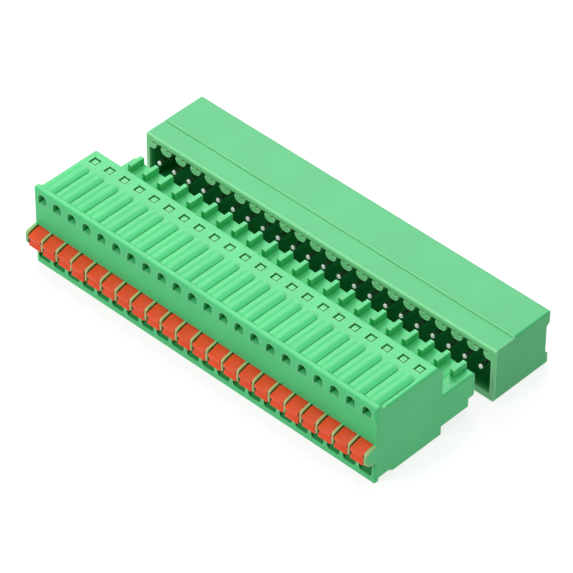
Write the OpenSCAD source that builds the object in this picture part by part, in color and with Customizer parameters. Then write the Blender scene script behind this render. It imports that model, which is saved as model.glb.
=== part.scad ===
/*
  Pluggable terminal block: a row of sprung wire clamps in a plug, and the header it pushes into.
  The two halves lie on one flat surface, pulled apart in line with each other.
  X runs along the row, Y from the wire side to the board side, Z up from that surface.
  The origin is in the middle of the footprint. Below, Y = 0 is the back of the plug's body.
*/

/* [Row] */
// Number of poles
poles = 22; // [2:1:22]
// Distance between neighbouring poles
pitch = 2.5; // [2.4:0.05:2.8]
// Gap between the plug's tongue and the header's mouth
apart = 2.65; // [0.5:0.05:10]

/* [Plug body] */
// Plug body beyond the axis of each end pole
plug_end = 1.5; // [1.4:0.05:2.5]
// Depth of the plug's body, front face to back face
plug_depth = 11.35; // [11.2:0.05:13]
// Height of the plug's flat top
plug_height = 11.1; // [10.5:0.1:13]
// Radius along the long edges of both mouldings
edge_r = 0.25; // [0.1:0.05:0.35]
// Radius of the plug's upright front corners
corner_r = 0.4; // [0.2:0.05:0.8]
// Run of the bevel along the top back edge of the plug
back_run = 1.05; // [0.6:0.05:1.4]
// Drop of that bevel
back_drop = 1.4; // [0.8:0.05:1.8]
// Height of the lip above the flat top
lip_rise = 0.6; // [0.3:0.05:0.9]
// Depth of the lip, front to back
lip_depth = 1.05; // [0.8:0.05:1.4]
// Radius of the scoop behind the lip
scoop_r = 0.5; // [0.2:0.05:0.6]

/* [Underside] */
// Depth of the front foot, front to back
foot_depth = 0.6; // [0.4:0.05:1]
// Height of the relief behind the front foot
relief_rise = 0.65; // [0.3:0.05:0.75]
// Flat stretch of the relief, front to back
relief_depth = 1.75; // [1:0.05:2.2]
// Run of the slope that ends the relief
relief_slope = 0.95; // [0.5:0.05:1.2]

/* [Top ridges] */
// Width of each finger ridge
ridge_w = 1.8; // [1.4:0.05:2]
// Height of a ridge's side walls
ridge_side = 0.1; // [0.06:0.02:0.2]
// Rise of a ridge's round crest above its side walls
ridge_crown = 0.24; // [0.06:0.02:0.3]
// Flat band between the ridges and the back face
back_band = 4.2; // [3.6:0.1:5]
// Radius of a ridge's back corners in plan
ridge_r = 0.45; // [0.2:0.05:0.6]

/* [Top windows] */
// Side of each square window
window_side = 1.15; // [0.8:0.05:1.4]
// Depth of each window
window_depth = 0.42; // [0.2:0.02:0.8]
// Distance from the back face to the nearer side of a window
window_back = 1.95; // [1.6:0.05:2.2]
// Gap between a window's sides and the post inside it
moat_w = 0.22; // [0.1:0.02:0.3]
// Depth of the post's top below the flat top
post_drop = 0.1; // [0.05:0.01:0.18]

/* [Test holes] */
// Width of a test hole
test_w = 1.4; // [1:0.05:1.8]
// Height of a test hole, sill to crown
test_h = 1.5; // [1.3:0.05:1.6]
// Sill of the test holes below the flat top
test_sill = 1.55; // [1.5:0.05:1.9]
// Depth of a test hole's mouth
test_depth = 1.5; // [1:0.05:1.7]
// Rise of the floor of a test hole, front to back
test_ramp = 0.45; // [0.2:0.05:0.6]
// Radius of the way from a test hole down to its clamp
probe_r = 0.45; // [0.3:0.05:0.5]
// Height of the band that the test holes are in, below the flat top
band_h = 1.6; // [1.5:0.05:2]
// Amount by which that band stands proud of the face below it
band_step = 0.15; // [0.05:0.01:0.2]

/* [Guards] */
// Thickness of the guards between the buttons
guard_w = 0.3; // [0.25:0.05:0.4]
// Reach of the guards in front of the front face
guard_reach = 1.6; // [1.45:0.05:2]
// Height of the guards where they leave the front face
guard_top = 5.94; // [5.86:0.02:6.4]
// Fall of the guards' top edge towards the front
guard_fall = 0.34; // [0.1:0.02:0.4]
// Height of the underside of the guards
guard_bottom = 3.42; // [3.36:0.02:3.48]
// Radius of the guards' front corners, seen from the side
guard_r = 0.55; // [0.3:0.05:0.7]
// Radius along the upright front edges of the guards
guard_edge_r = 0.12; // [0.05:0.01:0.12]
// Rise of the slanted heel under the guards' front
heel_rise = 0.55; // [0.3:0.05:0.8]
// Run of the slanted heel
heel_run = 0.7; // [0.4:0.05:0.9]

/* [Buttons] */
// Width of a button
button_w = 1.95; // [1.6:0.05:2]
// Height of a button's underside
button_bottom = 3.56; // [3.54:0.02:3.7]
// Height of a button's block
button_h = 2.2; // [2:0.05:2.25]
// Reach of a button in front of the front face
button_reach = 1.6; // [1.2:0.05:1.7]
// Length of a button's block inside the body
button_inside = 1.35; // [1.1:0.05:1.5]
// Fall of a button's top towards its nose
button_fall = 0.5; // [0.2:0.05:0.6]
// Height of the nose
nose_h = 0.45; // [0.25:0.05:0.5]
// Depth of the tool notch under the nose
notch_depth = 0.4; // [0.15:0.05:0.45]
// Height of the notch's slanted back face
notch_h = 1.05; // [0.6:0.05:1.1]
// Radius along a button's long edges
button_r = 0.12; // [0.05:0.01:0.2]
// Height of the latch lug on a button's top
lug_h = 0.2; // [0.1:0.02:0.3]
// Length of the latch lug
lug_length = 0.6; // [0.4:0.05:0.7]
// Travel of a button from its rest
travel = 1; // [0.6:0.05:1.05]
// Amount by which the loosest buttons stand further out
far_out = 0.2; // [0:0.05:0.3]
// Amount by which a looser button stands further out
near_out = 0.1; // [0:0.05:0.3]
// Width of a button's stem
stem_w = 1.2; // [0.8:0.05:1.5]
// Height of a button's stem
stem_h = 0.9; // [0.6:0.05:1]
// Top of the stem below the top of the block
stem_drop = 0.8; // [0.6:0.05:0.9]

/* [Wire entries] */
// Width of a wire entry at the front face
entry_w = 2; // [1.8:0.05:2.1]
// Height of the sill of a wire entry
entry_sill = 0.8; // [0.75:0.05:1]
// Height of a wire entry at the front face
entry_h = 2.45; // [2.2:0.05:2.5]
// Radius of the lower corners of a wire entry
entry_r = 0.5; // [0.2:0.05:0.8]
// Length of the tapered mouth of a wire entry
entry_depth = 1.1; // [0.8:0.05:1.5]
// Radius of the round throat that guides the wire
throat_r = 0.8; // [0.7:0.02:0.85]

/* [Clamp chamber] */
// Width of the chamber of a pole
chamber_w = 1.9; // [1.75:0.05:1.95]
// Floor of the chamber
chamber_floor = 1.2; // [1.1:0.05:1.3]
// Height of the chamber
chamber_h = 5.3; // [5.2:0.05:5.8]
// Wall between the chamber and the back face
chamber_back = 0.2; // [0.1:0.05:0.5]

/* [Contacts] */
// Width of the current bar
bar_w = 1.5; // [1.2:0.05:1.6]
// Thickness of the current bar
bar_t = 0.4; // [0.3:0.05:0.5]
// Width of the bar's upright
upright_w = 1.2; // [1:0.05:1.25]
// Height of the contact pins' axis above the surface
contact_z = 4.3; // [4.2:0.05:4.5]
// Height of the tines that grip a pin
tine_h = 0.8; // [0.6:0.05:0.9]
// Thickness of a tine
tine_t = 0.25; // [0.15:0.05:0.3]
// Length of the tines in the tongue
tine_length = 4.5; // [3:0.1:4.6]
// Radius of the sockets in the tongue
socket_r = 0.5; // [0.45:0.02:0.55]
// Width of the bevel round a socket
socket_bevel = 0.22; // [0.1:0.02:0.3]

/* [Clamp springs] */
// Thickness of a clamp spring
spring_t = 0.2; // [0.15:0.01:0.25]
// Width of a clamp spring
spring_w = 1.5; // [1.2:0.05:1.6]
// Radius of the bend, at the middle of the strip
bend_r = 0.6; // [0.45:0.05:0.65]
// Gap between the bend and the chamber's front wall
bend_gap = 0.3; // [0.1:0.05:0.4]
// Length of the spring's upper leg
upper_leg = 3.6; // [2.5:0.1:4.5]
// Distance from the chamber's front wall to the spring's tip
tip_reach = 2.95; // [2.6:0.05:3.4]

/* [Tongue] */
// Length of the tongue
tongue_length = 5.45; // [5.3:0.05:6.5]
// Height of the tongue's top
tongue_top = 6.1; // [5.9:0.05:6.5]
// Height of the step under the tongue's front
tongue_step_rise = 1.4; // [1:0.05:1.6]
// Length of that step
tongue_step = 0.95; // [0.4:0.05:1.2]
// Depth of the scallops between the coding ribs
scallop_depth = 0.19; // [0.05:0.01:0.2]
// Radius of the scallops
scallop_r = 2; // [1.5:0.05:2.1]
// Width of a coding rib
rib_w = 0.66; // [0.5:0.02:0.7]
// Height of a coding rib
rib_h = 1; // [0.7:0.05:1.2]
// Length of a coding rib
rib_length = 2.3; // [1:0.1:3.5]
// Radius along the top of a coding rib
rib_r = 0.12; // [0.06:0.02:0.24]

/* [Header] */
// Depth of the header's cavity behind the tongue at the end of its travel
seat_gap = 0.15; // [0.1:0.05:0.5]
// Solid depth of the header behind its cavity
header_back = 4.2; // [3:0.1:5]
// End walls of the header
end_wall = 0.6; // [0.4:0.05:1]
// Bottom wall of the header
bottom_wall = 1; // [0.6:0.05:1.05]
// Top wall of the header
top_wall = 0.75; // [0.6:0.05:1.2]
// Depth of the lowered front strip of the header's top
front_strip = 3.35; // [2:0.05:5]
// Amount by which that strip is lower
strip_step = 0.17; // [0.05:0.01:0.25]
// Width of a lobe's stem
stalk_w = 0.42; // [0.3:0.02:0.6]
// Height of a lobe's head
lobe_h = 0.85; // [0.75:0.05:0.9]
// Radius of a lobe's lower corners
lobe_r = 0.7; // [0.3:0.05:0.72]

/* [Header back] */
// Height of the top rail at the back
top_rail = 1.6; // [1:0.1:2.4]
// Height of the bottom rail at the back
bottom_rail = 1.6; // [1:0.1:2.4]
// Depth of the recess between the rails
rail_depth = 0.65; // [0.3:0.05:1]
// Amount by which the bottom rail is shallower than the top rail
rail_step = 0.2; // [0.05:0.05:0.25]
// Run of the slants that lead into the recess
rail_slant = 0.45; // [0.2:0.05:0.6]

/* [Pins] */
// Radius of the contact pins
pin_r = 0.33; // [0.25:0.01:0.35]
// Length of a pin's tapered tip
tip_length = 0.2; // [0.1:0.02:0.24]
// Radius of a pin's collar, which sits in the back of the header
collar_r = 0.5; // [0.5:0.02:0.6]
// Length of a pin's collar
collar_length = 0.6; // [0.3:0.05:1]
// Reach of the solder tails beyond the top rail
tail_length = 1.95; // [1:0.05:3]

/* [Clearances] */
// Gap between moulded parts that plug together, at each end of the row
end_gap = 0.1; // [0.05:0.01:0.2]
// Gap under the tongue in the header
floor_gap = 0.25; // [0.1:0.05:0.4]
// Gap between the tongue and the lobes above it
lobe_gap = 0.1; // [0.05:0.01:0.2]
// Gap between a coding rib and the lobe on each side of it
rib_side_gap = 0.07; // [0.03:0.01:0.12]
// Gap between a coding rib and the header's top wall
rib_top_gap = 0.25; // [0.1:0.05:0.4]
// Gap all round a button's block in its slot
slot_gap = 0.08; // [0.04:0.01:0.1]
// Gap round metal parts in their chambers
seat = 0.05; // [0.02:0.01:0.08]
// Gap between a pin and the parts round it
pin_gap = 0.03; // [0.01:0.01:0.05]
// Gap between a button's stem and its spring
stem_gap = 0.1; // [0.05:0.01:0.2]

/* [Hidden] */
green = "mediumseagreen";
orange = "orangered";
metal = "silver";
tinned = "gainsboro";

two_digits = 10;
function numbered(name, n) = str(name, "_", n < two_digits ? "0" : "", n);

$fn = 32;
// Smooth circles of the wide, shallow curves
wide_fn = 96;
// Straight steps in a rounded corner and in the bend of a spring
arc_steps = 4;
bend_steps = 10;
// How far a cut runs past the surface it opens, and how far an added form reaches into its carrier
overshoot = 1;
root = 0.5;

// Places along the row
row = (poles - 1) * pitch;
function pole_x(n) = (n - 1) * pitch - row / 2;
plug_length = row + 2 * plug_end;
header_length = plug_length + 2 * (end_gap + end_wall);

// Buttons that stand out
far_poles = [4, 18];
near_poles = [2];
function among(n, list) = len([for (p = list) if (p == n) p]) > 0;
function standing_out(n) = among(n, far_poles) ? far_out : among(n, near_poles) ? near_out : 0;

// Depths
front_y = -plug_depth;
mouth_y = tongue_length + apart;
cavity_depth = tongue_length + seat_gap;
header_depth = cavity_depth + header_back;
rail_y = mouth_y + header_depth;
recess_y = rail_y - rail_depth;
tail_y = rail_y + tail_length;
nose_y = front_y - button_reach;
guard_y = front_y - guard_reach;
first_y = min(guard_y, nose_y - max(far_out, near_out));
middle_y = (first_y + tail_y) / 2;

// Heights
tongue_bottom = bottom_wall + floor_gap;
ceiling = tongue_top + rib_h + rib_top_gap;
header_height = ceiling + top_wall;
ridge_rise = ridge_side + ridge_crown;
sill_z = plug_height - test_sill;
button_top = button_bottom + button_h;
chamber_top = chamber_floor + chamber_h;
block_end = front_y + button_inside;
chamber_y = block_end + travel + slot_gap;

// Clamp spring: an upper leg, a bend, and a straight leg that touches a circle and ends at a tip
spring_z = chamber_top - seat - spring_t / 2;
bend = [chamber_y + bend_gap + spring_t / 2 + bend_r, spring_z - bend_r];
spring_tip = [chamber_y + tip_reach, chamber_floor + seat + bar_t + spring_t + seat];
tip_away = spring_tip - bend;
leg_angle = atan2(tip_away[0], -tip_away[1]) + asin(bend_r / norm(tip_away));
leg_start = bend + bend_r * [-cos(leg_angle), -sin(leg_angle)];
// Front surface of the straight leg at a height z
function leg_front(z) =
    leg_start[0] + (leg_start[1] - z) * tan(leg_angle) - spring_t / 2 / cos(leg_angle);

stem_top = button_top - stem_drop;
stem_end = leg_front(stem_top) - stem_gap;
lug_start = block_end - lug_length;

tine_x = pin_r + pin_gap;
cavity_w = 2 * (tine_x + tine_t + 2 * seat);

// A corner [y, z] with neighbours a and c, rounded with radius r
function turn(a, b, c, r) =
    let (
        u = (a - b) / norm(a - b),
        v = (c - b) / norm(c - b),
        half = acos(max(-1, min(1, u * v))) / 2,
        middle = b + (u + v) / norm(u + v) * r / sin(half),
        start = b + u * r / tan(half) - middle,
        end = b + v * r / tan(half) - middle,
        from = atan2(start[1], start[0]),
        sweep = atan2(start[0] * end[1] - start[1] * end[0], start * end)
    )
    [for (k = [0 : arc_steps]) middle + r * [cos(from + sweep * k / arc_steps), sin(from + sweep * k / arc_steps)]];

// An outline given as [across, up, radius] corners
function outline(corners) =
    let (count = len(corners), p = [for (c = corners) [c[0], c[1]]])
    [for (k = [0 : count - 1])
        each corners[k][2] == 0
            ? [p[k]]
            : turn(p[(k + count - 1) % count], p[k], p[(k + 1) % count], corners[k][2])];

// A strip of thickness t along a path
function side(path, t) =
    [for (k = [0 : len(path) - 1])
        let (
            before = path[k] - path[max(k - 1, 0)],
            after = path[min(k + 1, len(path) - 1)] - path[k],
            u = k == 0 ? after / norm(after) : before / norm(before),
            v = k == len(path) - 1 ? u : after / norm(after),
            n = [-(u + v)[1], (u + v)[0]] / norm(u + v)
        )
        path[k] + n * t / 2 / sqrt((1 + u * v) / 2)];
function strip(path, t) =
    let (back = side(path, -t))
    concat(side(path, t), [for (k = [len(back) - 1 : -1 : 0]) back[k]]);

// A [y, z] drawing pulled out along X, about the middle
module across(width) {
    rotate([90, 0, 90]) linear_extrude(width, center = true) children();
}

// An [x, z] drawing pulled out along Y
module along(from, to) {
    translate([0, to, 0]) rotate([90, 0, 0]) linear_extrude(to - from) children();
}

module side_view(width, bottom, top, r) {
    half = width / 2;
    polygon(outline([[-half, bottom, r], [half, bottom, r], [half, top, r], [-half, top, r]]));
}

module plan_view(width, from, to, front_r, back_r) {
    half = width / 2;
    polygon(outline([[-half, from, front_r], [half, from, front_r], [half, to, back_r], [-half, to, back_r]]));
}

module at_poles() {
    for (n = [1 : poles]) translate([pole_x(n), 0, 0]) children();
}

module between_poles() {
    for (n = [1 : poles - 1]) translate([pole_x(n) + pitch / 2, 0, 0]) children();
}

// Everything is drawn from the plug's back face and then moved to the middle of the footprint
module placed(shade) {
    color(shade) translate([0, -middle_y, 0]) children();
}

// ---------- Plug housing ----------

module plug_block() {
    face_y = front_y + band_step;
    slope_y = front_y + foot_depth + relief_depth;
    intersection() {
        across(plug_length) polygon(outline([
            [front_y, 0, edge_r / 2],
            [front_y + foot_depth, 0, 0],
            [front_y + foot_depth, relief_rise, 0],
            [slope_y, relief_rise, 0],
            [slope_y + relief_slope, 0, 0],
            [0, 0, edge_r],
            [0, plug_height - back_drop, edge_r],
            [-back_run, plug_height, edge_r],
            [front_y, plug_height, 0],
            [front_y, plug_height - band_h, 0],
            [face_y, plug_height - band_h, 0],
            [face_y, guard_top, 0],
            [front_y, guard_bottom, 0]
        ]));
        along(front_y, 0) side_view(plug_length, 0, plug_height, edge_r);
        linear_extrude(plug_height) plan_view(plug_length, front_y, 0, corner_r, edge_r);
    }
}

module lip() {
    top = plug_height + lip_rise;
    back_y = front_y + lip_depth;
    intersection() {
        across(plug_length) polygon(outline([
            [front_y, plug_height - band_h / 2, 0],
            [back_y + scoop_r, plug_height - band_h / 2, 0],
            [back_y + scoop_r, plug_height, 0],
            [back_y, plug_height, scoop_r],
            [back_y - edge_r, top, edge_r],
            [front_y, top, edge_r]
        ]));
        along(front_y, 0) side_view(plug_length, 0, top, edge_r);
        linear_extrude(top) plan_view(plug_length, front_y, 0, corner_r, edge_r);
    }
}

module ridge() {
    half = ridge_w / 2;
    crown_r = (half * half + ridge_crown * ridge_crown) / (2 * ridge_crown);
    front = front_y + lip_depth / 2;
    intersection() {
        along(front, -back_band) intersection() {
            translate([-half, plug_height - overshoot]) square([ridge_w, overshoot + ridge_rise]);
            translate([0, plug_height + ridge_rise - crown_r]) circle(crown_r, $fn = wide_fn);
        }
        translate([0, 0, plug_height - overshoot / 2])
            linear_extrude(overshoot) plan_view(ridge_w, front, -back_band, 0, ridge_r);
    }
}

// The outline of a guard, seen from the side
module guard_outline() {
    root_y = front_y + root;
    polygon(outline([
        [root_y, guard_bottom, 0],
        [root_y, guard_top, 0],
        [front_y, guard_top, 0],
        [guard_y, guard_top - guard_fall, guard_r],
        [guard_y, guard_bottom + heel_rise, guard_r],
        [guard_y + heel_run, guard_bottom, guard_r / 2]
    ]));
}

// A guard with a round front edge
module guard(width) {
    intersection() {
        across(width) guard_outline();
        linear_extrude(plug_height) plan_view(width, guard_y, front_y + root, guard_edge_r, 0);
    }
}

module guards() {
    end_w = plug_end - pitch / 2 + guard_w / 2;
    between_poles() guard(guard_w);
    for (s = [-1, 1]) translate([s * (plug_length - end_w) / 2, 0, 0]) guard(end_w);
}

module tongue() {
    root_y = -root;
    difference() {
        intersection() {
            across(plug_length) polygon(outline([
                [root_y, tongue_bottom, 0],
                [tongue_length - tongue_step, tongue_bottom, edge_r],
                [tongue_length - tongue_step, tongue_bottom + tongue_step_rise, 0],
                [tongue_length, tongue_bottom + tongue_step_rise, edge_r],
                [tongue_length, tongue_top, edge_r],
                [root_y, tongue_top, 0]
            ]));
            along(root_y, tongue_length) side_view(plug_length, tongue_bottom, tongue_top, edge_r);
        }
        between_poles() along(0, tongue_length + overshoot)
            translate([0, tongue_top + scallop_r - scallop_depth]) circle(scallop_r, $fn = wide_fn);
    }
}

module coding_rib() {
    along(tongue_length - rib_length, tongue_length - edge_r / 2)
        polygon(outline([
            [-rib_w / 2, tongue_top - edge_r, 0],
            [rib_w / 2, tongue_top - edge_r, 0],
            [rib_w / 2, tongue_top + rib_h, rib_r],
            [-rib_w / 2, tongue_top + rib_h, rib_r]
        ]));
}

// The space of one pole: window, test hole, button slot, wire entry, clamp chamber and pin socket
module window() {
    middle = -window_back - window_side / 2;
    post_side = window_side - 2 * moat_w;
    translate([0, middle, plug_height - window_depth]) linear_extrude(window_depth + overshoot)
        difference() {
            square(window_side, center = true);
            square(post_side, center = true);
        }
    translate([0, middle, plug_height - post_drop]) linear_extrude(overshoot)
        square(window_side, center = true);
}

module test_hole() {
    round_r = test_w / 2;
    back_y = front_y + test_depth;
    way = [back_y - probe_r, sill_z + test_ramp];
    aim = [bend[0], spring_z] - way;
    difference() {
        along(front_y - overshoot, back_y) union() {
            translate([-round_r, sill_z]) square([test_w, test_h - round_r]);
            translate([0, sill_z + test_h - round_r]) circle(round_r);
        }
        across(test_w + overshoot) polygon([
            [front_y, sill_z],
            [back_y + overshoot, sill_z + test_ramp * (test_depth + overshoot) / test_depth],
            [back_y + overshoot, sill_z - overshoot],
            [front_y, sill_z - overshoot]
        ]);
    }
    translate([0, way[0], way[1]]) rotate([atan2(aim[0], -aim[1]), 0, 0])
        translate([0, 0, -norm(aim)]) cylinder(norm(aim) + probe_r, r = probe_r);
}

module button_slot() {
    w = button_w + 2 * slot_gap;
    bottom = button_bottom - slot_gap;
    top = button_top + slot_gap;
    lug_y = lug_start - max(far_out, near_out) - slot_gap;
    translate([-w / 2, front_y - overshoot, bottom])
        cube([w, chamber_y - front_y + overshoot, top - bottom]);
    translate([-w / 2, lug_y, bottom]) cube([w, chamber_y - lug_y, top - bottom + lug_h]);
}

module wire_entry() {
    entry_top = entry_sill + entry_h;
    axis_z = chamber_floor + seat + bar_t + throat_r;
    inner_y = front_y + entry_depth;
    intersection() {
        along(front_y - overshoot, inner_y)
            polygon(outline([
                [-entry_w / 2, entry_sill, entry_r],
                [entry_w / 2, entry_sill, entry_r],
                [entry_w / 2, entry_top, 0],
                [-entry_w / 2, entry_top, 0]
            ]));
        across(entry_w) polygon([
            [front_y - overshoot, entry_sill],
            [front_y, entry_sill],
            [inner_y, axis_z - throat_r],
            [inner_y, axis_z + throat_r],
            [front_y, entry_top],
            [front_y - overshoot, entry_top]
        ]);
    }
    translate([0, inner_y - seat, axis_z]) rotate([-90, 0, 0])
        cylinder(chamber_y - inner_y + overshoot, r = throat_r);
}

module chamber() {
    translate([-chamber_w / 2, chamber_y, chamber_floor])
        cube([chamber_w, -chamber_back - chamber_y, chamber_h]);
    translate([-cavity_w / 2, -chamber_back - seat, contact_z - tine_h / 2 - seat])
        cube([cavity_w, tine_length + chamber_back + 2 * seat, tine_h + 2 * seat]);
}

module pin_socket() {
    translate([0, tongue_length, contact_z]) rotate([90, 0, 0]) {
        cylinder(tongue_length - tine_length, r = socket_r);
        translate([0, 0, -overshoot]) cylinder(overshoot, r = socket_r + socket_bevel);
        cylinder(socket_bevel, r1 = socket_r + socket_bevel, r2 = socket_r);
    }
}

module plug_housing() {
    placed(green) difference() {
        union() {
            plug_block();
            lip();
            at_poles() ridge();
            guards();
            tongue();
            at_poles() coding_rib();
        }
        at_poles() {
            window();
            test_hole();
            button_slot();
            wire_entry();
            chamber();
            pin_socket();
        }
    }
}

// ---------- Plug contacts and springs ----------

module contact() {
    foot_z = chamber_floor + seat;
    upright_y = -chamber_back - seat - bar_t;
    along_y = chamber_y + seat;
    top_z = contact_z + tine_h / 2;
    translate([-bar_w / 2, along_y, foot_z]) cube([bar_w, upright_y + bar_t - along_y, bar_t]);
    translate([-upright_w / 2, upright_y, foot_z]) cube([upright_w, bar_t, top_z - foot_z]);
    for (s = [-1, 1]) tine(s, upright_y, top_z);
}

// One tine of the fork: straight along the pin, with a tip that opens outwards
module tine(s, from_y, top_z) {
    tip = 2 * tine_t;
    tip_y = tine_length - tip;
    translate([0, 0, top_z - tine_h]) linear_extrude(tine_h) polygon([
        [s * tine_x, from_y],
        [s * tine_x, tip_y],
        [s * (tine_x + tine_t / 2), tine_length],
        [s * (tine_x + tine_t + seat), tine_length],
        [s * (tine_x + tine_t), tip_y],
        [s * (tine_x + tine_t), from_y]
    ]);
}

module plug_contacts() {
    placed(metal) at_poles() contact();
}

module clamp_spring(n) {
    sweep = 90 + leg_angle;
    path = concat(
        [bend + [upper_leg, bend_r]],
        [for (k = [0 : bend_steps])
            bend + bend_r * [cos(90 + sweep * k / bend_steps), sin(90 + sweep * k / bend_steps)]],
        [spring_tip]
    );
    placed(tinned) translate([pole_x(n), 0, 0]) across(spring_w) polygon(strip(path, spring_t));
}

// ---------- Push buttons ----------

module push_button(n) {
    notch_foot = button_top - button_fall - nose_h - notch_h;
    placed(orange) translate([pole_x(n), -standing_out(n), 0]) {
        intersection() {
            across(button_w) polygon(outline([
                [block_end, button_bottom, 0],
                [block_end, button_top, 0],
                [front_y, button_top, 0],
                [nose_y, button_top - button_fall, button_r],
                [nose_y, button_top - button_fall - nose_h, button_r / 2],
                [nose_y + notch_depth, button_top - button_fall - nose_h, 0],
                [nose_y, notch_foot, 0],
                [nose_y + notch_foot - button_bottom, button_bottom, 0]
            ]));
            along(nose_y, block_end) side_view(button_w, button_bottom, button_top, button_r);
        }
        translate([-stem_w / 2, lug_start, button_top - button_r]) cube([stem_w, lug_length, lug_h + button_r]);
        translate([-stem_w / 2, block_end - button_r, stem_top - stem_h])
            cube([stem_w, stem_end - block_end + button_r, stem_h]);
    }
}

// ---------- Header ----------

module header_block() {
    strip_z = header_height - strip_step;
    low_y = rail_y - rail_step;
    intersection() {
        across(header_length) polygon(outline([
            [mouth_y, 0, edge_r],
            [low_y, 0, edge_r],
            [low_y, bottom_rail, 0],
            [recess_y, bottom_rail + rail_slant, 0],
            [recess_y, header_height - top_rail - rail_slant, 0],
            [rail_y, header_height - top_rail, 0],
            [rail_y, header_height, edge_r],
            [mouth_y + front_strip, header_height, 0],
            [mouth_y + front_strip, strip_z, 0],
            [mouth_y, strip_z, edge_r]
        ]));
        along(mouth_y, rail_y) side_view(header_length, 0, header_height, edge_r);
        linear_extrude(header_height) plan_view(header_length, mouth_y, rail_y, edge_r, edge_r);
    }
}

// A lobe that hangs between two coding ribs: a stalk and a wider head
module lobe() {
    head_w = pitch - rib_w - 2 * rib_side_gap;
    head_z = tongue_top + lobe_gap;
    along(mouth_y, mouth_y + cavity_depth + overshoot) {
        translate([-stalk_w / 2, head_z + lobe_h / 2])
            square([stalk_w, ceiling - head_z]);
        polygon(outline([
            [-head_w / 2, head_z, lobe_r],
            [head_w / 2, head_z, lobe_r],
            [head_w / 2, head_z + lobe_h, 0],
            [-head_w / 2, head_z + lobe_h, 0]
        ]));
    }
}

// The cavity, with half a lobe on each end wall
module header_cavity() {
    half = plug_length / 2 + end_gap;
    shoulder = row / 2 + rib_w / 2 + rib_side_gap;
    stalk_x = (row + pitch - stalk_w) / 2;
    head_z = tongue_top + lobe_gap;
    neck_z = min(head_z + lobe_h, ceiling - seat_gap);
    along(mouth_y - overshoot, mouth_y + cavity_depth) polygon(outline([
        [-half, bottom_wall, 0],
        [half, bottom_wall, 0],
        [half, head_z, 0],
        [shoulder, head_z, lobe_r],
        [shoulder, neck_z, 0],
        [stalk_x, neck_z, 0],
        [stalk_x, ceiling, 0],
        [-stalk_x, ceiling, 0],
        [-stalk_x, neck_z, 0],
        [-shoulder, neck_z, 0],
        [-shoulder, head_z, lobe_r],
        [-half, head_z, 0]
    ]));
}

module header_housing() {
    placed(green) difference() {
        header_block();
        difference() {
            header_cavity();
            between_poles() lobe();
        }
        at_poles() pin_hole();
    }
}

// The hole for a pin through the header's back, with a wider seat for its collar
module pin_hole() {
    translate([0, rail_y, contact_z]) rotate([90, 0, 0]) {
        cylinder(header_back + overshoot, r = pin_r + pin_gap);
        cylinder(rail_depth + collar_length + pin_gap, r = collar_r + pin_gap);
    }
}

module header_pins() {
    collar_end = recess_y - mouth_y;
    pin_length = tail_y - mouth_y;
    placed(tinned) at_poles() translate([0, mouth_y, contact_z]) rotate([-90, 0, 0])
        rotate_extrude() polygon([
            [0, 0],
            [pin_r / 2, 0],
            [pin_r, tip_length],
            [pin_r, collar_end - collar_length],
            [collar_r, collar_end - collar_length],
            [collar_r, collar_end],
            [pin_r, collar_end],
            [pin_r, pin_length - tip_length],
            [pin_r / 2, pin_length],
            [0, pin_length]
        ]);
}

header_housing();
header_pins();
plug_housing();
plug_contacts();
for (n = [1 : poles]) {
    push_button(n);
    clamp_spring(n);
}
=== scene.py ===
# %% [markdown]
# A pluggable terminal block, pulled apart
# ----------------------------------------
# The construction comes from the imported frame: two moulded housings, contact pins and
# twenty-two push buttons, each on its own joint. This lesson dresses it. It makes the
# moulded plastics and the plated metals, rounds the edges of the buttons and turns the
# contact pins. Every length is in metres.

# %% Load the frame
import math

import bmesh
import bpy
from mathutils import Matrix, Vector


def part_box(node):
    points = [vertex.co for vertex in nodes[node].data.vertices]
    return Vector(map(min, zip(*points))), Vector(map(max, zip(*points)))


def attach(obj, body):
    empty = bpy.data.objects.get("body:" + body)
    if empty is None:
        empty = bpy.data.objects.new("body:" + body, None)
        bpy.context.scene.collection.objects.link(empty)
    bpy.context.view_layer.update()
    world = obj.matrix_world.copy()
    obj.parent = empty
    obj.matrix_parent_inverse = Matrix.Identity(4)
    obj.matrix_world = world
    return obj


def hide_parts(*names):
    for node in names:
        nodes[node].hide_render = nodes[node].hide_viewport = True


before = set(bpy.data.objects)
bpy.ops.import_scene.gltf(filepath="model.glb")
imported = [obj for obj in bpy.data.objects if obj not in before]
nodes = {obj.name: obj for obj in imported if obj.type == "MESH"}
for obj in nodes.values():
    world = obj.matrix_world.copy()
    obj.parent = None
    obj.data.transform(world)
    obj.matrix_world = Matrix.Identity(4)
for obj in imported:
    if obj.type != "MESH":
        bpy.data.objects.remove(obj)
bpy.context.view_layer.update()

# %% [markdown]
# Writing shader maths as Python
# ------------------------------
# A material is a graph of nodes. Joining Math nodes by hand takes three lines for each sum,
# so a small class wraps a socket and gives it +, - and *. Any other operation is asked for
# by its name.

# %% A socket that can be added and multiplied


class Signal:
    """The output of a node, as a value in a sum."""

    def __init__(self, finish, socket):
        self.finish = finish
        self.socket = socket

    def maths(self, operation, other, swapped=False):
        pair = (other, self) if swapped else (self, other)
        return self.finish.add(
            "ShaderNodeMath", {"operation": operation}, {0: pair[0], 1: pair[1]}
        )

    def __add__(self, other):
        return self.maths("ADD", other)

    def __radd__(self, other):
        return self.maths("ADD", other, swapped=True)

    def __sub__(self, other):
        return self.maths("SUBTRACT", other)

    def __rsub__(self, other):
        return self.maths("SUBTRACT", other, swapped=True)

    def __mul__(self, other):
        return self.maths("MULTIPLY", other)

    def __rmul__(self, other):
        return self.maths("MULTIPLY", other, swapped=True)


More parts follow.
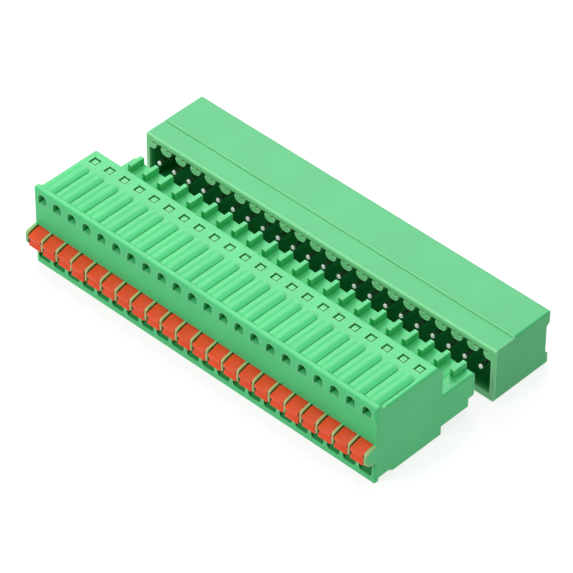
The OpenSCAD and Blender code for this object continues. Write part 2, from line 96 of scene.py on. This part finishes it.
# %% [markdown]
# One method for every node
# -------------------------
# A second class holds the material that is being built. Its add method makes any node from
# the node's type, its settings, and the values or links of its inputs, and gives one output
# back as a Signal. What every recipe needs, a mix of two colours and a smooth threshold, has
# a method of its own. A Mix node has several sockets with the same name, one for each kind
# of data, so those for colours are asked for by number.

# %% A material being built
MIX_FIRST = 6
MIX_SECOND = 7
MIX_RESULT = 2


class Finish:
    """A material being built, with its Principled BSDF ready to be fed."""

    def __init__(self, name):
        self.material = bpy.data.materials.new(name)
        self.material.use_nodes = True
        self.tree = self.material.node_tree
        self.surface = self.tree.nodes["Principled BSDF"]

    @classmethod
    def around(cls, world):
        """The same helpers for the sky, which has no surface."""
        finish = cls.__new__(cls)
        finish.tree = world.node_tree
        return finish

    def add(self, kind, settings=None, inputs=None, output=0):
        node = self.tree.nodes.new(kind)
        for name, value in (settings or {}).items():
            setattr(node, name, value)
        for name, value in (inputs or {}).items():
            self.feed(node, name, value)
        return Signal(self, node.outputs[output])

    def feed(self, node, name, value):
        """Give an input its value, a link, or several links where it takes them."""
        if isinstance(value, (list, tuple)) and isinstance(value[0], Signal):
            for each in value:
                self.feed(node, name, each)
        elif isinstance(value, Signal):
            self.tree.links.new(value.socket, node.inputs[name])
        else:
            node.inputs[name].default_value = value

    def mix(self, amount, first, second):
        """The first colour where the amount is 0, the second where it is 1."""
        return self.add(
            "ShaderNodeMix",
            {"data_type": "RGBA"},
            {"Factor": amount, MIX_FIRST: first, MIX_SECOND: second},
            output=MIX_RESULT,
        )

    def band(self, signal, low, high):
        """0 where the signal is below low, 1 above high, and a smooth way between them."""
        return self.add(
            "ShaderNodeMapRange",
            {"interpolation_type": "SMOOTHSTEP"},
            {"Value": signal, "From Min": low, "From Max": high},
        )

    def set(self, **inputs):
        for name, value in inputs.items():
            self.feed(self.surface, name.replace("_", " "), value)


# %% [markdown]
# Tones
# -----
# A moulding is given three tones: the plastic itself, a painted shade for places that light
# hardly reaches, and a painted highlight for edges and thin walls. The header comes from
# another mould, so its green is a little quieter. A colour is mixed from these tones and not
# painted by hand, so it follows the shape wherever that changes.

# %% Tones of the plastics and metals
GREEN = (0.078, 0.62, 0.22)
HEADER_GREEN = (0.064, 0.5, 0.178)
# Painted shade for hollows, painted highlight for edges, warm painted highlight for guards.
GREEN_PAINTED_SHADE = (0.006, 0.25, 0.05)
GREEN_PAINTED_LIGHT = (0.38, 0.84, 0.44)
GREEN_PAINTED_WARM_LIGHT = (0.82, 0.53, 0.25)
ORANGE = (0.86, 0.085, 0.02)
# Painted shade and painted highlight of the buttons' orange.
ORANGE_PAINTED_SHADE = (0.4, 0.014, 0.003)
ORANGE_PAINTED_LIGHT = (0.95, 0.22, 0.08)
TIN = (0.6, 0.6, 0.585)
# Near-white painted highlight of the pin tips.
TIN_TIP_HIGHLIGHT = (0.97, 0.97, 0.96)
STEEL = (0.62, 0.63, 0.64)


def opaque(shade, factor=1.0):
    """A shade made lighter or darker by a factor, as a colour socket takes it."""
    return (*(min(1, c * factor) for c in shade), 1)


print("green as a colour socket takes it:", opaque(GREEN))

# %% [markdown]
# Where the edges and the hollows are
# -----------------------------------
# Two masks come from the shape itself. Looking outwards from a point, the share of rays that
# meet a surface says how deep in a hollow the point is. Looking inwards, it says how close
# the point is to an edge, because there the rays soon leave through the next face. The third
# mask is a plain box in the part's own coordinates, which can repeat along the row of poles.
# The hollow mask places a painted shade, the edge mask a painted highlight, and the boxes
# place both.

# %% The three masks
MASK_RAYS = 8
WALL = 0.00004


def nearness(finish, reach, inside):
    """How much of the view from a point meets a surface within a reach, 0 to 1."""
    open_view = finish.add(
        "ShaderNodeAmbientOcclusion",
        {"inside": inside, "only_local": inside, "samples": MASK_RAYS},
        {"Distance": reach},
        output="AO",
    )
    return 1 - open_view


def within(finish, place, box, pitch=0):
    """1 inside a box, 0 outside. It comes as (start, full, end) along X, Y and Z.

    The mask grows from start to full and ends sharply. With a pitch it repeats along X.
    """
    mask = 1
    for axis, (start, full, end) in zip("XYZ", box):
        along = finish.add("ShaderNodeSeparateXYZ", None, {"Vector": place}, output=axis)
        if pitch and axis == "X":
            along = (along - start).maths("FLOORED_MODULO", pitch) + start
        mask = mask * finish.band(along, start, full) * finish.band(along, end, end - WALL)
    return mask


print("a box mask ends within", round(1000 * WALL, 3), "mm")

# %% [markdown]
# The surface of a moulding
# -------------------------
# The housings are satin polyamide. Up close such a moulding has three things that a flat
# colour lacks: a fine spark-eroded grain left by the mould, a very slight drift of colour
# where the melt flowed, and edges that are never perfectly sharp. Grain and drift are noise
# read from Object coordinates, so they stay on the part. The soft edges come from a Bevel
# node, which rounds the shading normal within a tenth of a millimetre of an edge.

# %% Grain, drift and soft edges
DRIFT_SIZE = 0.006
DRIFT_DETAIL = 3
GRAIN_SIZE = 0.00012
GRAIN_DETAIL = 2
GRAIN_STRENGTH = 0.12
GRAIN_HEIGHT = 0.00001
EDGE_SOFTNESS = 0.00009
EDGE_RAYS = 6


def noise(finish, place, size, detail):
    """A cloudy value, 0 to 1, in patches of about the given size."""
    inputs = {"Vector": place, "Scale": 1 / size, "Detail": detail}
    return finish.add("ShaderNodeTexNoise", None, inputs)


def grainy_normal(finish, grain):
    """The normal of a surface with soft edges and a fine grain."""
    soft = finish.add("ShaderNodeBevel", {"samples": EDGE_RAYS}, {"Radius": EDGE_SOFTNESS})
    return finish.add(
        "ShaderNodeBump",
        None,
        {
            "Strength": GRAIN_STRENGTH,
            "Distance": GRAIN_HEIGHT,
            "Height": grain,
            "Normal": soft,
        },
    )


print("grain:", round(1000 * GRAIN_SIZE, 3), "mm, edges:", round(1000 * EDGE_SOFTNESS, 3), "mm")

# %% [markdown]
# The colour of a moulding
# ------------------------
# The plastic's own tone comes first, then a painted shade in hollows, then a painted
# highlight at edges. A pocket is a box that counts as a hollow, so it gets the painted shade
# too. A rim is a box with a painted light in a tone of its own: it covers a given share of
# the box and more of the edges in it, and takes that share of the painted shade away.
# Hollows are rougher too, so that no shine lights them up again.

# %% The recipe of a moulded plastic
DRIFT_BAND = (0.3, 0.7)
EDGE_WIDTH = 0.00028
EDGE_BAND = (0.1, 0.5)
EDGE_HIGHLIGHT_SHARE = 0.4
RIM_EDGE_HIGHLIGHT_SHARE = 0.45
HOLLOW_REACH = 0.005
HOLLOW_BAND = (0.65, 0.95)
PAINTED_SHADE_SHARE = 0.9
HOLLOW_ROUGHNESS = 0.35
GRAIN_ROUGHNESS = 0.08
SATIN = 0.34
PLASTIC_IOR = 1.5
PLASTIC_SPECULAR = 0.2


def moulded_plastic(name, tones, drift, pockets=(), rims=()):
    """A plastic with painted shade and highlight. A rim is (box, tone, share, pitch)."""
    own, painted_shade, painted_light = tones
    finish = Finish(name)
    place = finish.add("ShaderNodeTexCoord", output="Object")
    flow = noise(finish, place, DRIFT_SIZE, DRIFT_DETAIL)
    grain = noise(finish, place, GRAIN_SIZE, GRAIN_DETAIL)
    edge = finish.band(nearness(finish, EDGE_WIDTH, inside=True), *EDGE_BAND)
    hollow = finish.band(nearness(finish, HOLLOW_REACH, inside=False), *HOLLOW_BAND)
    for pocket in pockets:
        hollow = hollow.maths("MAXIMUM", within(finish, place, pocket))
    # Painted highlight along the edges.
    painted_light_amount = EDGE_HIGHLIGHT_SHARE * edge
    rim = opaque(painted_light)
    # Each rim adds painted light in its tone and takes away part of the painted shade.
    for box, tone, share, pitch in rims:
        lit = within(finish, place, box, pitch)
        painted_light_amount = painted_light_amount + lit * (RIM_EDGE_HIGHLIGHT_SHARE * edge + share)
        rim = finish.mix(lit, rim, opaque(tone))
        hollow = hollow * (1 - share * lit)
    drifted = finish.band(flow, *DRIFT_BAND)
    colour = finish.mix(drifted, opaque(own, 1 - drift), opaque(own, 1 + drift))
    # Painted shade in hollows and pockets.
    colour = finish.mix(PAINTED_SHADE_SHARE * hollow, colour, opaque(painted_shade))
    # Painted highlight at edges and on rims.
    colour = finish.mix(painted_light_amount * (1 - hollow), colour, rim)
    normal = grainy_normal(finish, grain)
    roughness = SATIN + HOLLOW_ROUGHNESS * hollow + GRAIN_ROUGHNESS * (grain - 0.5)
    finish.set(
        Base_Color=colour,
        Roughness=roughness,
        IOR=PLASTIC_IOR,
        Specular_IOR_Level=PLASTIC_SPECULAR,
        Normal=normal,
    )
    print(name, "is a graph of", len(finish.tree.nodes), "nodes")
    return finish.material


# %% [markdown]
# Plated metal
# ------------
# Tin plate and spring steel are bright metal with a faint bloom, which is noise in colour
# and roughness. Where a pin has been cut and blunted, its tip is frosted: rougher and less
# of a mirror, and paler through a painted highlight.

# %% The recipe of a plated metal
BLOOM_SIZE = 3 * GRAIN_SIZE
BLOOM_DETAIL = 2
BLOOM_SHADES = (0.9, 1.08)
BLOOM_ROUGHNESS = 0.15
FROST_DULLNESS = 0.75
FROST_ROUGHNESS = 0.2


def plated_metal(name, shade, roughness, frosted=None):
    """A bright metal, frosted with a painted highlight inside a box where one is given."""
    finish = Finish(name)
    place = finish.add("ShaderNodeTexCoord", output="Object")
    bloom = noise(finish, place, BLOOM_SIZE, BLOOM_DETAIL)
    frost_and_highlight = within(finish, place, frosted) if frosted else 0
    colour = finish.mix(bloom, *(opaque(shade, factor) for factor in BLOOM_SHADES))
    finish.set(
        # Painted highlight: the frosted tips turn near-white.
        Base_Color=finish.mix(frost_and_highlight, colour, opaque(TIN_TIP_HIGHLIGHT)),
        Metallic=1 - FROST_DULLNESS * frost_and_highlight,
        Roughness=roughness + FROST_ROUGHNESS * frost_and_highlight + BLOOM_ROUGHNESS * (bloom - 0.5),
    )
    print(name, "is a graph of", len(finish.tree.nodes), "nodes")
    return finish.material


# %% [markdown]
# Painted shade in deep pockets
# -----------------------------
# Light hardly reaches the wire entries of the plug and the cavity of the header. The plastic
# is given a painted shade there, which grows from the mouth of the pocket inwards. The boxes
# start from the bounding boxes of the two housings, so they stay where the part is. Each
# comes from two corners and the way that the mask takes to grow along X, Y and Z.

# %% The boxes of the pockets
GUARD_REACH = 0.0016
ENTRY_BOTTOM = 0.0007
ENTRY_TOP = 0.00345
ENTRY_DEPTH = 0.006
ENTRY_END = 0.0002
ENTRY_GROWTH = (0.0003, 0.0001, 0.00008)
CAVITY_BOTTOM = 0.0009
CAVITY_TOP = 0.0076
CAVITY_MOUTH = 0.0001
CAVITY_DEPTH = 0.0058
CAVITY_ENDS = (0.0003, 0.0004)
CAVITY_GROWTH = (0.0002, 0.0011, 0.00005)


def mask_box(low, high, growth):
    """The (start, full, end) stretches of a box along X, Y and Z."""
    return [(start, start + way, end) for start, end, way in zip(low, high, growth)]


plug_low, plug_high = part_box("plug_housing")
header_low, header_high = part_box("header_housing")
plug_front = plug_low.y + GUARD_REACH
wire_entries = mask_box(
    low=(plug_low.x, plug_front, ENTRY_BOTTOM),
    high=(plug_high.x - ENTRY_END, plug_front + ENTRY_DEPTH, ENTRY_TOP),
    growth=ENTRY_GROWTH,
)
header_cavity = mask_box(
    low=(header_low.x + CAVITY_ENDS[0], header_low.y + CAVITY_MOUTH, CAVITY_BOTTOM),
    high=(header_high.x - CAVITY_ENDS[1], header_low.y + CAVITY_DEPTH, CAVITY_TOP),
    growth=CAVITY_GROWTH,
)
print("the plug's front wall is at y", round(plug_front, 5))

# %% [markdown]
# Painted light on rims
# ---------------------
# Some edges and thin walls are given a painted highlight: the mouth of the header and the
# small step along its top. The guards between the buttons are given a warm painted highlight
# on their edges, for the orange light that they catch from both sides. A margin beyond the
# part makes sure that a box takes in the outermost faces.

# %% The boxes of the rims
MARGIN = 0.0001
GUARD_BOTTOM = 0.0033
GUARD_TOP = 0.0063
MOUTH_DEPTH = 0.0004
MOUTH_SHARE = 0.4
FRONT_STRIP = 0.00335
STEP_REACH = 0.00006
STEP_HEIGHT = 0.00025
STEP_GROWTH = (MARGIN, 0.00003, 0.00005)
STEP_SHARE = 0.35

margins = Vector((MARGIN, MARGIN, MARGIN))
step_y = header_low.y + FRONT_STRIP
guards = mask_box(
    low=(plug_low.x - MARGIN, plug_low.y - MARGIN, GUARD_BOTTOM),
    high=(plug_high.x + MARGIN, plug_front, GUARD_TOP),
    growth=margins,
)
header_mouth = mask_box(
    low=header_low - margins,
    high=(header_high.x + MARGIN, header_low.y + MOUTH_DEPTH, header_high.z + MARGIN),
    growth=margins,
)
top_step = mask_box(
    low=(header_low.x - MARGIN, step_y - STEP_REACH, header_high.z - STEP_HEIGHT),
    high=(header_high.x + MARGIN, step_y + STEP_REACH, header_high.z + MARGIN),
    growth=STEP_GROWTH,
)
print("the header's step is at y", round(step_y, 5))

# %% [markdown]
# The gaps round the window posts
# -------------------------------
# Each pole has a small square window in the top of the plug with a post inside it. The gap
# between them is given painted light on the two sides that face the light, in place of most
# of its painted shade. One box for each of these sides is enough for all the windows,
# because the mask repeats at the pitch of the poles.

# %% The pitch of the poles
pins_low, pins_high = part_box("header_pins")
collar_radius = (pins_high.z - pins_low.z) / 2
first_pole = pins_low.x + collar_radius
button_nodes = sorted(n for n in nodes if n.startswith("push_button"))
poles = len(button_nodes)
pitch = (pins_high.x - pins_low.x - 2 * collar_radius) / (poles - 1)
print("poles:", poles, "pitch:", round(pitch, 6))

# %% The boxes of the windows
PLUG_DEPTH = 0.01135
PLUG_TOP = 0.0111
WINDOW = 0.00115
WINDOW_BACK = 0.00195
WINDOW_DEPTH = 0.0006
MOAT = 0.00022
SIDE_SPILL = 0.00003
FRONT_SPILL = 0.00005
FADE = 0.00002
WINDOW_GROWTH = (FADE, FADE, 0.0001)
WINDOW_SHARE = 0.8

window_left = first_pole - WINDOW / 2
window_right = first_pole + WINDOW / 2
window_far = plug_front + PLUG_DEPTH - WINDOW_BACK
window_near = window_far - WINDOW
window_floor = PLUG_TOP - WINDOW_DEPTH
window_side = mask_box(
    low=(window_right - MOAT - SIDE_SPILL, window_near, window_floor),
    high=(window_right, window_far - MOAT, PLUG_TOP - FADE),
    growth=WINDOW_GROWTH,
)
window_front = mask_box(
    low=(window_left + MOAT, window_near, window_floor),
    high=(window_right, window_near + MOAT + FRONT_SPILL, PLUG_TOP - FADE),
    growth=WINDOW_GROWTH,
)
print("the first window is at x", round(first_pole, 5), "and y", round(window_near, 5))

# %% [markdown]
# The finished materials
# ----------------------
# Every material is now made once, with its own tones, the painted shade of its pockets and
# the painted light of its rims. The pins are of tin with frosted tips under a painted
# highlight, and the parts inside the plug are of plain tin and spring steel.

# %% Three plastics
plug_plastic = moulded_plastic(
    "plug_plastic",
    (GREEN, GREEN_PAINTED_SHADE, GREEN_PAINTED_LIGHT),
    drift=0.03,
    pockets=[wire_entries],
    rims=[
        (guards, GREEN_PAINTED_WARM_LIGHT, 0, 0),
        (window_side, GREEN_PAINTED_LIGHT, WINDOW_SHARE, pitch),
        (window_front, GREEN_PAINTED_LIGHT, WINDOW_SHARE, pitch),
    ],
)
header_plastic = moulded_plastic(
    "header_plastic",
    (HEADER_GREEN, GREEN_PAINTED_SHADE, GREEN_PAINTED_LIGHT),
    drift=0.03,
    pockets=[header_cavity],
    rims=[
        (header_mouth, GREEN_PAINTED_LIGHT, MOUTH_SHARE, 0),
        (top_step, GREEN_PAINTED_LIGHT, STEP_SHARE, 0),
    ],
)
button_plastic = moulded_plastic(
    "orange_button", (ORANGE, ORANGE_PAINTED_SHADE, ORANGE_PAINTED_LIGHT), drift=0.04
)

# %% Three metals
TIP_LENGTH = 0.00016

# The tips of the pins get frost and a painted highlight.
pin_tips = mask_box(
    low=pins_low - margins,
    high=(pins_high.x + MARGIN, pins_low.y + TIP_LENGTH, pins_high.z + MARGIN),
    growth=margins,
)
pin_tin = plated_metal("pin_tin", TIN, roughness=0.28, frosted=pin_tips)
tin_plate = plated_metal("tin_plate", TIN, roughness=0.28)
spring_steel = plated_metal("spring_steel", STEEL, roughness=0.3)

# %% [markdown]
# Dressing the carried-over nodes
# -------------------------------
# The frame's own meshes keep their shape and their place, and only their material changes.
# The buttons and the pins are dressed too, although finer pieces will stand for them.

# %% Dress the nodes
DRESSES = {
    "plug_housing": plug_plastic,
    "header_housing": header_plastic,
    "push_button": button_plastic,
    "clamp_spring": spring_steel,
    "plug_contacts": tin_plate,
    "header_pins": tin_plate,
}

for node, carried in nodes.items():
    material = next(m for start, m in DRESSES.items() if node.startswith(start))
    carried.data.materials.clear()
    carried.data.materials.append(material)
print("dressed", len(nodes), "nodes")

# %% [markdown]
# Push buttons with real round edges
# ----------------------------------
# The buttons are what a finger meets and the eye sees first, so their edges are rounded in the
# mesh. A solid from the CAD arrives as loose triangles. Welding its corners and dissolving the
# flat edges gives back the few plain faces that a bevel can work on. Every edge that turns by
# more than a set angle is then rounded, and the rest keeps its shape.

# %% A rounded copy of a CAD solid
WELD = 0.000001
FLAT = math.radians(2)
SHARP = math.radians(35)


def rounded(node, radius, steps):
    """A mesh like the node's, with its sharp edges rounded."""
    form = bmesh.new()
    form.from_mesh(nodes[node].data)
    bmesh.ops.remove_doubles(form, verts=form.verts, dist=WELD)
    bmesh.ops.dissolve_limit(form, angle_limit=FLAT, verts=form.verts, edges=form.edges)
    corners = [e for e in form.edges if e.is_manifold and e.calc_face_angle() > SHARP]
    bmesh.ops.bevel(
        form,
        geom=corners,
        offset=radius,
        segments=steps,
        profile=0.5,
        affect="EDGES",
        clamp_overlap=True,
        harden_normals=False,
    )
    bmesh.ops.remove_doubles(form, verts=form.verts, dist=WELD)
    bmesh.ops.recalc_face_normals(form, faces=form.faces)
    for face in form.faces:
        face.smooth = True
    mesh = bpy.data.meshes.new(node + "_round")
    form.to_mesh(mesh)
    form.free()
    mesh.set_sharp_from_angle(angle=SHARP)
    return mesh


print("edges that turn by over", round(math.degrees(SHARP)), "degrees get rounded")

# %% [markdown]
# A piece that stands for a node
# ------------------------------
# A new mesh becomes part of the object in three steps: the CAD node that it stands for is
# hidden, a body carries it, and it gets its material. Each button rides on a body of its
# own, so it moves with its joint.

# %% The twenty-two buttons
BUTTON_ROUND = 0.00007
ROUND_STEPS = 3


def new_piece(name, mesh, material, body, node):
    """A finished mesh as a piece that rides on a body, with the CAD node it stands for hidden.
    """
    mesh.materials.clear()
    mesh.materials.append(material)
    piece = bpy.data.objects.new(name, mesh)
    bpy.context.scene.collection.objects.link(piece)
    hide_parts(node)
    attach(piece, body)


for node in button_nodes:
    body = node.replace("push_button", "button")
    mesh = rounded(node, BUTTON_ROUND, ROUND_STEPS)
    new_piece("rounded_" + body, mesh, button_plastic, body, node)
print(poles, "buttons,", len(mesh.polygons), "faces each")

# %% [markdown]
# A row of turned pins
# --------------------
# All the contact pins are one shape repeated, which is a job for Geometry Nodes. A straight
# line becomes a curve, a profile of radii along it turns it into a pin, and a second line
# with one point for each pole puts a pin on every pole. The count, the pitch and the radius
# are inputs of the group, so one tree makes a row of any size.

# %% A geometry tree written like the shader graphs


class Shape(Finish):
    """A Geometry Nodes group being built, with named inputs."""

    def __init__(self, name, inputs):
        self.tree = bpy.data.node_groups.new(name, "GeometryNodeTree")
        sockets = self.tree.interface
        for label, kind in inputs.items():
            sockets.new_socket(label, in_out="INPUT", socket_type=kind)
        sockets.new_socket("Geometry", in_out="OUTPUT", socket_type="NodeSocketGeometry")
        self.source = self.tree.nodes.new("NodeGroupInput")
        self.sink = self.tree.nodes.new("NodeGroupOutput")

    def given(self, label):
        """The value that the group gets for one of its inputs."""
        return Signal(self, self.source.outputs[label])

    def identifier(self, label):
        """The name under which a modifier keeps the value of an input."""
        sockets = self.tree.interface.items_tree
        return next(socket.identifier for socket in sockets if socket.name == label)

    def vector(self, **parts):
        return self.add("ShaderNodeCombineXYZ", None, parts)


LENGTHS = ["Pitch", "Radius", "Length", "Tip", "Collar Radius", "Collar Length", "Collar Place"]

row = Shape(
    "row_of_pins",
    {
        "Count": "NodeSocketInt",
        **{label: "NodeSocketFloat" for label in LENGTHS},
        "Material": "NodeSocketMaterial",
    },
)
print("inputs of the row:", len(LENGTHS) + 2)

# %% [markdown]
# One pin
# -------
# A pin is a tube round a straight line of rings. A cosine crowds the rings towards the two
# ends, where the shape turns. Let t be the way from the nearer end, counted in lengths of the
# tip, so it is 0 at the end and 1 where the straight part starts. From there to the end the
# radius follows a quarter circle, down to a blunt nose.

# %% The tree of one pin
PIN_SIDES = 24
PIN_RINGS = 40
BLUNT = 0.4

angle = row.add("GeometryNodeInputIndex") * (math.pi / (PIN_RINGS - 1))
ring_y = row.given("Length") * (0.5 - 0.5 * angle.maths("COSINE", 0))
stem = row.add("GeometryNodeMeshLine", None, {"Count": PIN_RINGS, "Offset": (0, 0, 0)})
stem = row.add(
    "GeometryNodeSetPosition", None, {"Geometry": stem, "Position": row.vector(Y=ring_y)}
)
stem = row.add("GeometryNodeMeshToCurve", None, {"Mesh": stem})

point = row.add("GeometryNodeInputPosition")
y = row.add("ShaderNodeSeparateXYZ", None, {"Vector": point}, output="Y")
from_end = y.maths("MINIMUM", row.given("Length") - y)
t = from_end.maths("DIVIDE", row.given("Tip")).maths("MINIMUM", 1)
dome = (1 - (1 - t) * (1 - t)).maths("SQRT", 0)
circle = row.add(
    "GeometryNodeCurvePrimitiveCircle", None, {"Resolution": PIN_SIDES, "Radius": 1}
)
pin = row.add(
    "GeometryNodeCurveToMesh",
    None,
    {
        "Curve": stem,
        "Profile Curve": circle,
        "Scale": row.given("Radius") * (BLUNT + (1 - BLUNT) * dome),
        "Fill Caps": True,
    },
)
print("tree of one pin:", len(row.tree.nodes), "nodes")

# %% [markdown]
# The collar and the row
# ----------------------
# A collar holds each pin in the header's back wall. Pin and collar together are put on every
# point of a line along the poles, made into real geometry and given their material.

# %% The tree of the row
collar = row.add(
    "GeometryNodeMeshCylinder",
    None,
    {
        "Vertices": PIN_SIDES,
        "Radius": row.given("Collar Radius"),
        "Depth": row.given("Collar Length"),
    },
)
collar = row.add(
    "GeometryNodeTransform",
    None,
    {
        "Geometry": collar,
        "Translation": row.vector(Y=row.given("Collar Place")),
        "Rotation": (math.pi / 2, 0, 0),
    },
)
pole = row.add("GeometryNodeJoinGeometry", None, {"Geometry": [pin, collar]})
places = row.add(
    "GeometryNodeMeshLine",
    None,
    {"Count": row.given("Count"), "Offset": row.vector(X=row.given("Pitch"))},
)
many = row.add("GeometryNodeInstanceOnPoints", None, {"Points": places, "Instance": pole})
many = row.add("GeometryNodeRealizeInstances", None, {"Geometry": many})
many = row.add(
    "GeometryNodeSetMaterial", None, {"Geometry": many, "Material": row.given("Material")}
)
row.feed(row.sink, "Geometry", many)
print("tree of the row:", len(row.tree.nodes), "nodes")

# %% [markdown]
# From the tree to a plain mesh
# -----------------------------
# The tree runs once, on a carrier object that is thrown away, and a plain mesh is kept. The
# mesh is then moved to where the first pin is.

# %% The row of pins
PIN_RADIUS = 0.00033
PIN_TIP = 0.0002
COLLAR_LENGTH = 0.0006
COLLAR_PLACE = 0.00885


def grown(shape, name, values):
    """The plain mesh that a geometry tree makes from its inputs."""
    carrier = bpy.data.objects.new(name, bpy.data.meshes.new(name))
    bpy.context.scene.collection.objects.link(carrier)
    modifier = carrier.modifiers.new(name, "NODES")
    modifier.node_group = shape.tree
    for label, value in values.items():
        modifier[shape.identifier(label)] = value
    bpy.context.view_layer.update()
    evaluated = carrier.evaluated_get(bpy.context.evaluated_depsgraph_get())
    mesh = bpy.data.meshes.new_from_object(evaluated)
    carrier.modifiers.remove(modifier)
    bpy.data.objects.remove(carrier)
    return mesh


pins = grown(
    row,
    "pins",
    {
        "Count": poles,
        "Pitch": pitch,
        "Radius": PIN_RADIUS,
        "Length": pins_high.y - pins_low.y,
        "Tip": PIN_TIP,
        "Collar Radius": collar_radius,
        "Collar Length": COLLAR_LENGTH,
        "Collar Place": COLLAR_PLACE,
        "Material": pin_tin,
    },
)
first_pin = (first_pole, pins_low.y, (pins_low.z + pins_high.z) / 2)
pins.transform(Matrix.Translation(first_pin))
pins.polygons.foreach_set("use_smooth", [True] * len(pins.polygons))
pins.set_sharp_from_angle(angle=SHARP)
new_piece("turned_pins", pins, pin_tin, "header", "header_pins")
print("pins:", poles, "with", len(pins.polygons), "faces in all")

# %% [markdown]
# White to the eye, dim to everything else
# ----------------------------------------
# The part lies on white under a white sky. At full strength both would flood it with light
# and wash out its shape. So each has two faces. A ray that comes straight from the camera, or
# by way of a mirror or glass, finds it white, and every other ray finds a weaker light.

# %% The rays that belong to the eye
EYE_RAYS = ("Is Camera Ray", "Is Glossy Ray", "Is Transmission Ray")


def eye_sees(finish):
    """1 for a ray from the camera, straight or by way of a mirror or glass, otherwise 0."""
    straight, mirrored, through = [
        finish.add("ShaderNodeLightPath", output=name) for name in EYE_RAYS
    ]
    return straight.maths("MAXIMUM", mirrored).maths("MAXIMUM", through)


print("rays that find white:", ", ".join(EYE_RAYS))

# %% [markdown]
# The table
# ---------
# The table that the eye sees gives off most of its white by itself and scatters the rest, so
# the part's shadow stays on it. The table that lights the part is a soft glow from below,
# which keeps the side walls from going dark. It lies a hair below the part, because two faces
# in one plane would flicker.

# %% The floor
FLOOR_SIZE = 3
FLOOR_Z = -0.00002
FLOOR_GLOW = 0.8
FLOOR_SHADE = 0.3
TABLE_GLOW = 0.6
TABLE_BOUNCE = 0.25


def glowing(finish, glow, bounce):
    """A surface that gives off some light and scatters part of what falls on it."""
    scatter = finish.add("ShaderNodeBsdfDiffuse", None, {"Color": (bounce, bounce, bounce, 1)})
    light = finish.add("ShaderNodeEmission", None, {"Strength": glow})
    return finish.add("ShaderNodeAddShader", None, {0: scatter, 1: light})


floor_finish = Finish("white_floor")
felt = glowing(floor_finish, TABLE_GLOW, TABLE_BOUNCE)
seen = glowing(floor_finish, FLOOR_GLOW, FLOOR_SHADE)
mixed = floor_finish.add(
    "ShaderNodeMixShader", None, {0: eye_sees(floor_finish), 1: felt, 2: seen}
)
floor_finish.feed(floor_finish.tree.nodes["Material Output"], "Surface", mixed)
bpy.ops.mesh.primitive_plane_add(size=FLOOR_SIZE, location=(0, 0, FLOOR_Z))
floor = bpy.context.object
floor.name = "floor"
floor.data.materials.append(floor_finish.material)
print("the floor is", FLOOR_SIZE, "m wide")

# %% The sky
SKY = 0.15

world = bpy.data.worlds.new("sky")
bpy.context.scene.world = world
world.use_nodes = True
sky = Finish.around(world)
background = world.node_tree.nodes["Background"]
sky.feed(background, "Strength", SKY + (1 - SKY) * eye_sees(sky))
sky.feed(background, "Color", (1, 1, 1, 1))
print("the sky lights the part with", SKY, "of its white")

# %% [markdown]
# Four soft lamps
# ---------------
# A broad lamp overhead lights the tops. The one behind stands where the tops mirror it to the
# camera, which gives them their satin sheen. The one in front reaches the front walls and the
# buttons, and a weak one at the side reaches the ends. All are disks, for soft shadows.

# %% The lamps
CENTRE = Vector((0, 0, 0.005))


def soft_lamp(name, towards, distance, size, strength):
    """A disk lamp. Strength 1 would light a surface that faces it to just its own colour."""
    lamp = bpy.data.lights.new(name, "AREA")
    lamp.shape = "DISK"
    lamp.size = size
    lamp.energy = strength * (math.pi * distance) ** 2
    holder = bpy.data.objects.new(name, lamp)
    bpy.context.scene.collection.objects.link(holder)
    way = Vector(towards).normalized()
    holder.location = CENTRE + way * distance
    holder.rotation_euler = way.to_track_quat("Z", "Y").to_euler()
    print(name, "lamp:", round(lamp.energy, 2), "W")


soft_lamp("over", towards=(-0.1, 0.05, 1), distance=0.65, size=0.6, strength=0.47)
soft_lamp("back", towards=(-0.5, 0.54, 0.68), distance=0.7, size=0.35, strength=0.42)
soft_lamp("front", towards=(-0.28, -0.7, 0.6), distance=0.75, size=0.3, strength=0.42)
soft_lamp("side", towards=(0.9, 0.25, 0.4), distance=0.75, size=0.3, strength=0.11)

# %% [markdown]
# The camera
# ----------
# The camera is far off with a long lens, because a small part seen from close by would look
# like a large one. It is aimed at a point in the part and then rolled a little.

# %% The camera
EYE = Vector((0.24763, -0.26299, 0.32583))
TARGET = Vector((0.00030, -0.00047, 0.0040))
ROLL = math.radians(0.506)
LENS_MM = 256.7
SENSOR_MM = 36
NEAREST = 0.01

lens = bpy.data.cameras.new("camera")
lens.lens = LENS_MM
lens.sensor_width = SENSOR_MM
lens.clip_start = NEAREST
camera = bpy.data.objects.new("camera", lens)
bpy.context.scene.collection.objects.link(camera)
aimed = (TARGET - EYE).to_track_quat("-Z", "Y").to_matrix().to_4x4()
camera.matrix_world = Matrix.Translation(EYE) @ aimed @ Matrix.Rotation(ROLL, 4, "Z")
bpy.context.scene.camera = camera
bpy.context.scene.view_settings.view_transform = "Standard"
print("the camera is", round((TARGET - EYE).length, 3), "m from its target")
